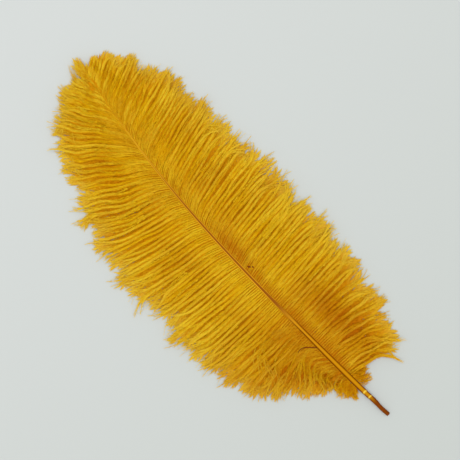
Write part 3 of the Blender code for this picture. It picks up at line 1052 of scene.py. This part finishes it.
# %% The quill's rings
QUILL_SIDES = 24
QUILL_STOPS = np.concatenate([np.linspace(0, 0.10, 56), np.linspace(0.104, 0.995, 130)])
SHOULDER, SHOULDER_SLANT = 0.0275, 0.0016   # from the cut end to the shoulder on top, and its slant
SHOULDER_FADES = (0.003, 0.004)             # how soon before it, and over what length, the scraping ends
FLATS, WOBBLE = (0.00010, 0.00007), 0.00018   # how deep the scraped stretch's flats and its wobble are
RIDGE_FROM, RIDGE_GROWS = 0.095, 0.060      # where the round quill turns into two ridges with a groove
RIDGE_SQUARE, GROOVE_DEPTH, GROOVE_WIDTH = 0.55, 0.30, 0.32
LIT_SIDE = 0.12                             # how far the painted highlight on the crest spreads to the right


def quill_rings():
    """Rings of points, with each point's distance from the cut end and how near the crest it is."""
    axis = shaft_point(QUILL_STOPS)[None]
    _, aside, up = (directions[0] for directions in frames_along(axis))
    around = 2 * np.pi * np.arange(QUILL_SIDES) / QUILL_SIDES
    crest, across = np.cos(around)[None, :], np.sin(around)[None, :]
    from_cut = RACHIS_LENGTH * QUILL_STOPS[:, None] - SHOULDER_SLANT * (crest - 1)
    scraped = 1 - smooth((from_cut - SHOULDER + SHOULDER_FADES[0]) / SHOULDER_FADES[1])
    flats = FLATS[0] * np.cos(5 * around + 1.3)[None, :]
    flats = flats + FLATS[1] * np.sin(3 * around + 160 * QUILL_STOPS[:, None])
    radius = quill_radius(from_cut / RACHIS_LENGTH) + scraped * flats
    wobble = WOBBLE * np.sin(90 * QUILL_STOPS)[:, None]
    centre = axis[0] + scraped.mean(1, keepdims=True) * aside * wobble
    ridged = smooth((from_cut - RIDGE_FROM) / RIDGE_GROWS)
    lift = np.sign(crest) * np.abs(crest) ** (1 - RIDGE_SQUARE * ridged)
    lift = lift - GROOVE_DEPTH * ridged * (crest > 0) * np.exp(-(across / GROOVE_WIDTH) ** 2)
    spread = aside[:, None] * across[..., None] + up[:, None] * lift[..., None]
    # how near the crest, which the horn's painted highlight and shade follow
    near_crest = np.broadcast_to(crest + LIT_SIDE * np.maximum(-across, 0), radius.shape)
    return centre[:, None] + radius[..., None] * spread, from_cut, near_crest


print("rings of the quill:", len(QUILL_STOPS))

# %% [markdown]
# ## The open cut end
# The cut end is an open tube. A black disk could stand for the hole, but it would look painted from
# the side. So the first ring is repeated smaller, for the wall's thickness, and then once more a few
# millimetres inside, as the floor of a real bore.

# %% Make the quill
BORE_SHARE, BORE_DEPTH = 0.62, 0.006
# the bore's corners carry this mark, and the horn group paints them dark as shade
BORE_MARK = -1.0 / 1000                     # a distance before the cut end marks the bore


def ring_walls(count):
    """Faces between neighbouring rings, and one face over each end."""
    first = (QUILL_SIDES * np.arange(count - 1))[:, None]
    k = np.arange(QUILL_SIDES)[None, :]
    other = (k + 1) % QUILL_SIDES
    corners = [first + k, first + QUILL_SIDES + k, first + QUILL_SIDES + other, first + other]
    faces = [tuple(wall) for wall in np.stack(corners, -1).reshape(-1, 4).tolist()]
    faces.append(tuple(range(QUILL_SIDES)))
    faces.append(tuple((count - 1) * QUILL_SIDES + k for k in reversed(range(QUILL_SIDES))))
    return faces


def make_quill():
    rings, from_cut, crest = quill_rings()
    middle = rings[0].mean(0)
    mouth = middle + (rings[0] - middle) * BORE_SHARE
    floor_of_bore = mouth + (shaft_point(np.array(BORE_DEPTH / RACHIS_LENGTH)) - shaft_point(np.array(0.0)))
    rings = np.concatenate([[floor_of_bore], [mouth], rings])
    from_cut = np.concatenate([np.full((2, QUILL_SIDES), BORE_MARK), from_cut])
    crest = np.concatenate([np.zeros((2, QUILL_SIDES)), crest])
    mesh = bpy.data.meshes.new("quill")
    mesh.from_pydata(rings.reshape(-1, 3).tolist(), [], ring_walls(len(rings)))
    for label, values in (("from_cut", 1000 * from_cut), ("crest", crest)):
        layer = mesh.attributes.new(label, "FLOAT", "POINT")
        layer.data.foreach_set("value", values.astype(np.float32).ravel())
    mesh.update()
    mesh.shade_smooth()
    return add_to_scene("quill", mesh)


quill = make_quill()
print("faces of the quill:", len(quill.data.polygons))

# %% [markdown]
# ## Horn
# The quill is painted brightest on its crest, a painted highlight, and browner at its sides, painted shade.
# Low down it is orange yellow; in the middle its sides turn pale on the ridges, a painted highlight, and the
# groove between the ridges is brown, painted shade; the thin end is pale. The cut stretch is raw brown
# with two pale ledges, and the bore is painted dark, as shade. One group blends all that by two values
# that the quill's points carry: their distance from the cut end and how near the crest they are.

# %% A node group for the horn
HORN_COLOURS = ("Yellow", "Tan", "Thread", "Side", "Ridge_Highlight", "Groove_Shade", "Scraped", "Shoulder", "Bore_Shade")
# stretches of the quill, in mm from the cut end
RAW_ENDS = (13.5, 25.0)
LEDGES = ((21.2, 23.4), (27.0, 29.6))
TURNS_TAN, TURNS_THREAD = (60, 150), (230, 330)
# where the painted shade on the sides turns to the ridges' painted highlight, and where the groove's painted
# shade comes in
SIDES_PALE, GROOVE_DARKENS = (100, 132), (108, 134)
GROOVE_NARROWS = (110, 160, 0.5, 0.80)      # with how near the crest the groove's edge lies at both places
POLISHED = (22, 30, 0.6, 0.38)              # with the roughness at both places
BORE_ENDS = (-0.9, -0.2)
# how near the crest: where the painted highlight on the crest, a ledge and the painted shade of the groove
# begin, and where they are full
CREST_LIGHTS, LEDGE_LIGHTS, GROOVE_EDGE = (0.66, 1.0), (0.3, 0.9), (0.0, 0.12)
GRAIN_STRETCH = (60, 900, 900)


def raw_grain(group):
    """Fine streaks along the scraped horn."""
    nodes, links = group.nodes, group.links
    place, stretch = nodes.new("ShaderNodeTexCoord"), nodes.new("ShaderNodeMapping")
    grain = nodes.new("ShaderNodeTexNoise")
    grain.inputs["Scale"].default_value = 1.0
    stretch.inputs["Scale"].default_value = GRAIN_STRETCH
    links.new(place.outputs["Object"], stretch.inputs["Vector"])
    links.new(stretch.outputs["Vector"], grain.inputs["Vector"])
    return remap(group, grain.outputs["Fac"], 0.35, 0.7)


def horn_group():
    group, given, out = new_group(
        "horn_along_quill", ("From Cut", "Crest"), HORN_COLOURS, (("Color", "Color"), ("Roughness", "Float")))
    from_cut, crest = given["From Cut"], given["Crest"]
    top = blend(group, remap(group, from_cut, *TURNS_TAN), given["Yellow"], given["Tan"])
    top = blend(group, remap(group, from_cut, *TURNS_THREAD), top, given["Thread"])
    # painted shade on the sides low down, painted highlight on the ridges higher up and on the crest; the
    # side colour is also the raw horn's
    side = blend(group, remap(group, from_cut, *SIDES_PALE), given["Side"], given["Ridge_Highlight"])
    horn = blend(group, remap(group, crest, *CREST_LIGHTS), side, top)
    # painted shade in the groove between the ridges
    inside = arithmetic(group, "SUBTRACT", crest, remap(group, from_cut, *GROOVE_NARROWS))
    groove = arithmetic(
        group, "MULTIPLY", remap(group, inside, *GROOVE_EDGE), remap(group, from_cut, *GROOVE_DARKENS))
    groove_shade_colour = blend(group, remap(group, from_cut, *TURNS_THREAD), given["Groove_Shade"], given["Thread"])
    horn = blend(group, groove, horn, groove_shade_colour)
    raw = blend(group, raw_grain(group), given["Side"], given["Scraped"])
    horn = blend(group, remap(group, from_cut, *RAW_ENDS), raw, horn)
    for begins, ends in LEDGES:
        middle = (begins + ends) / 2
        rising = remap(group, from_cut, begins, middle)
        falling = remap(group, from_cut, middle, ends, 1.0, 0.0)
        ledge = arithmetic(group, "MULTIPLY", rising, falling)
        on_top = arithmetic(group, "MULTIPLY", ledge, remap(group, crest, *LEDGE_LIGHTS))
        horn = blend(group, on_top, horn, given["Shoulder"])
    # painted shade inside the bore
    horn = blend(group, remap(group, from_cut, *BORE_ENDS, 1.0, 0.0), horn, given["Bore_Shade"])
    group.links.new(horn, out["Color"])
    group.links.new(remap(group, from_cut, *POLISHED), out["Roughness"])
    return group


horn_recipe = horn_group()
print("nodes in the horn group:", len(horn_recipe.nodes))

# %% [markdown]
# ## The quill's finish
# Scraped horn is dull and whole horn has a low sheen, so the group also gives the roughness. The
# highlight itself is weak, because the dye leaves a matt skin.

# %% The quill's material
def horn_material():
    material = bpy.data.materials.new("dyed_horn_painted_light")
    material.use_nodes = True
    recipe = place_group(material, horn_recipe, {"From Cut": "from_cut", "Crest": "crest"}, {
        "Yellow": (194, 132, 0), "Tan": (198, 136, 12), "Thread": (208, 156, 20), "Side": (126, 58, 0),
        "Ridge_Highlight": (236, 172, 30), "Groove_Shade": (142, 78, 0), "Scraped": (112, 52, 0),
        "Shoulder": (236, 200, 70), "Bore_Shade": (70, 34, 6)})
    shader = material.node_tree.nodes["Principled BSDF"]
    material.node_tree.links.new(recipe.outputs["Color"], shader.inputs["Base Color"])
    material.node_tree.links.new(recipe.outputs["Roughness"], shader.inputs["Roughness"])
    shader.inputs["Specular IOR Level"].default_value = 0.04
    return material


horn = horn_material()
quill.data.materials.append(horn)
pieces.append(quill)
print("finish of the quill:", horn.name)

# %% [markdown]
# ## A dried barb and two dark flecks
# One barb on the left lost its barbules and dried to a bare brown hook, and two small dark flecks lie
# on the right beside the shaft. Dark spots in the dye could stand for the flecks, but a raised fleck
# catches light and throws a small shadow. So all three are short tubes, as the barbs are.

# %% Make the dried bits
BARE_BARB_AT, BARE_BARB_LENGTH = 0.2187, 0.0175
BARE_BARB_OFF = (0, 0.0018, 0.0014)         # from the shaft's axis to the bare barb's root
BARE_BARB_LEAVES, BARE_BARB_HOOKS = np.radians(42), np.radians(56)
FLECKS_AT, FLECK_STATIONS = np.array([0.376, 0.367]), [1, 2]
FLECK_HEADINGS, FLECK_LENGTHS = np.radians([200.0, 150.0]), np.array([0.0030, 0.0026])
FLECK_RISE = 0.0001
BARE_BARB_RISE, BARE_BARB_RADIUS, FLECK_RADII = 0.0026, 0.00055, (0.0010, 0.0009)


def bare_barb():
    at = np.array([BARE_BARB_AT])
    root = shaft_point(at) + BARE_BARB_OFF
    hook = BARE_BARB_HOOKS * smooth((ALONG[None] - 0.45) / 0.5)
    heading = shaft_heading(at) + BARE_BARB_LEAVES
    return lay_free_barbs(root, heading, np.array([BARE_BARB_LENGTH]), hook, root[:, 2] + BARE_BARB_RISE)


def dark_flecks():
    roots = lay_barbs(RIGHT, FLECKS_AT, np.ones(2), 0.0)[[0, 1], FLECK_STATIONS]
    roots[:, 2] += FLECK_RISE
    bend = np.radians(40) * ALONG[None] * np.ones((2, 1))
    return lay_free_barbs(roots, FLECK_HEADINGS, FLECK_LENGTHS, bend, roots[:, 2])


def dried_bits():
    paths = np.concatenate([bare_barb(), dark_flecks()])
    swell = np.sin(np.pi * (0.12 + 0.86 * ALONG))
    radii = [BARE_BARB_RADIUS * (1 - 0.5 * ALONG)] + [radius * swell for radius in FLECK_RADII]
    rings = tube_rings(paths, np.stack(radii))
    loops, sizes = tube_faces(len(paths), BARB_STATIONS)
    cell = np.repeat(np.arange(len(paths)), 3 * BARB_STATIONS)
    places = cell_map(loops, cell, np.tile(np.repeat(ALONG, 3), len(paths)),
                      np.tile([0, 0.5, 1.0], len(paths) * BARB_STATIONS), len(paths))
    return mesh_object("dried_bits", rings.reshape(-1, 3), loops, sizes, {}, places)


dried = bpy.data.materials.new("dried_keratin")
dried.use_nodes = True
dried_shader = dried.node_tree.nodes["Principled BSDF"]
dried_shader.inputs["Base Color"].default_value = rgb(136, 58, 8)
dried_shader.inputs["Roughness"].default_value = 0.6
dried_shader.inputs["Specular IOR Level"].default_value = 0.1
bits = dried_bits()
bits.data.materials.append(dried)
pieces.append(bits)

# %% [markdown]
# ## One body
# The plume has no joint, so every piece rides on the one body. The imported solid is hidden and stays
# under the dressed plume.

# %% Fasten every piece to the plume
for piece in pieces:
    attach(piece, "root")
    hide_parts("feather")
print("pieces in all:", len(pieces))

# %% [markdown]
# ## The table top
# The plume lies on a pale, matt, slightly greenish top, painted a little darker towards the lower right of
# the picture as painted shade. An image could show that, but a large plane that blends two greys along
# that direction does it at any size, and it stays sharp from every side.

# %% Make the table top
TABLE_SIZE = 6
PAINTED_SHADE_TOWARDS = (-0.998, -0.0605, 0.0)     # painted shade grows from the picture's upper left to its lower right
BLEND_HALF_WIDTH = 0.25
# the pale top and its painted shade
PALE, PAINTED_SHADE_GREY = rgb(199, 203, 201), rgb(189, 194, 190)


def make_table_top():
    bpy.ops.mesh.primitive_plane_add(size=TABLE_SIZE)
    table = bpy.context.object
    table.name = "table_top"
    paint = bpy.data.materials.new("table_top")
    paint.use_nodes = True
    nodes, links = paint.node_tree.nodes, paint.node_tree.links
    place, across, shade = (nodes.new("ShaderNode" + kind) for kind in ("TexCoord", "VectorMath", "MapRange"))
    across.operation = "DOT_PRODUCT"
    across.inputs[1].default_value = PAINTED_SHADE_TOWARDS
    links.new(place.outputs["Object"], across.inputs[0])
    links.new(across.outputs["Value"], shade.inputs["Value"])
    shade.inputs["From Min"].default_value = -BLEND_HALF_WIDTH
    shade.inputs["From Max"].default_value = BLEND_HALF_WIDTH
    mixed = nodes.new("ShaderNodeMix")
    mixed.data_type = "RGBA"
    links.new(shade.outputs["Result"], mixed.inputs["Factor"])
    mixed.inputs["A"].default_value = PALE
    mixed.inputs["B"].default_value = PAINTED_SHADE_GREY
    links.new(mixed.outputs["Result"], nodes["Principled BSDF"].inputs["Base Color"])
    nodes["Principled BSDF"].inputs["Roughness"].default_value = 0.8
    table.data.materials.append(paint)
    return table


print("table top, m:", [round(side, 1) for side in make_table_top().dimensions[:2]])

# %% [markdown]
# ## The camera
# The plume is seen from straight above, with its cut end at the lower right of the picture. A long
# lens keeps the outline nearly free of perspective. The camera's turn about the vertical sets which way the
# plume runs, and the width of table that it takes in sets its distance.

# %% Put the camera over the plume
from mathutils import Matrix, Vector

CAMERA_TURN = math.radians(-131.53)
VIEW_CENTRE = Vector((0.2022, -0.0031, 0.0))    # from the cut end, in metres
VIEW_WIDTH = 0.3836
LENS, SENSOR = 85.0, 36.0

camera_data = bpy.data.cameras.new("camera")
camera_data.lens = LENS
camera_data.sensor_width = SENSOR
camera = add_to_scene("camera", camera_data)
distance = VIEW_WIDTH / SENSOR * LENS
look_at = Vector(start) + VIEW_CENTRE
above_plume = Matrix.Translation(look_at + Vector((0, 0, distance)))
camera.matrix_world = above_plume @ Matrix.Rotation(CAMERA_TURN, 4, "Z")
bpy.context.scene.camera = camera
print("camera over the table, m:", round(distance, 3))

# %% [markdown]
# ## Light
# The shadows are faint and soft, so the light comes from everywhere, with a little more from above. A
# wide disk lamp nearly over the plume and a white, even sky give that. Small lamps would draw hard
# lines between the strands.

# %% Make the light
image_right = camera.matrix_world.to_3x3() @ Vector((1, 0, 0))
image_up = camera.matrix_world.to_3x3() @ Vector((0, 1, 0))


def soft_box(name, aside, above, height, size, energy):
    """A wide round lamp, placed by the picture's own directions, that looks at the plume."""
    light = bpy.data.lights.new(name, "AREA")
    light.shape = "DISK"
    light.size = size
    light.energy = energy
    lamp = add_to_scene(name, light)
    lamp.location = look_at + image_right * aside + image_up * above + Vector((0, 0, height))
    lamp.rotation_mode = "QUATERNION"
    lamp.rotation_quaternion = (look_at - lamp.location).to_track_quat("-Z", "Y")
    return lamp


SKY_STRENGTH = 0.63
key = soft_box("key_light", aside=-0.06, above=0.04, height=2.7, size=2.2, energy=48)
world = bpy.data.worlds.new("studio")
world.use_nodes = True
world.node_tree.nodes["Background"].inputs["Color"].default_value = (1.0, 1.0, 1.0, 1.0)
world.node_tree.nodes["Background"].inputs["Strength"].default_value = SKY_STRENGTH
bpy.context.scene.world = world
bpy.context.scene.view_settings.view_transform = "Standard"
print("key light at, m:", [round(c, 2) for c in key.location])
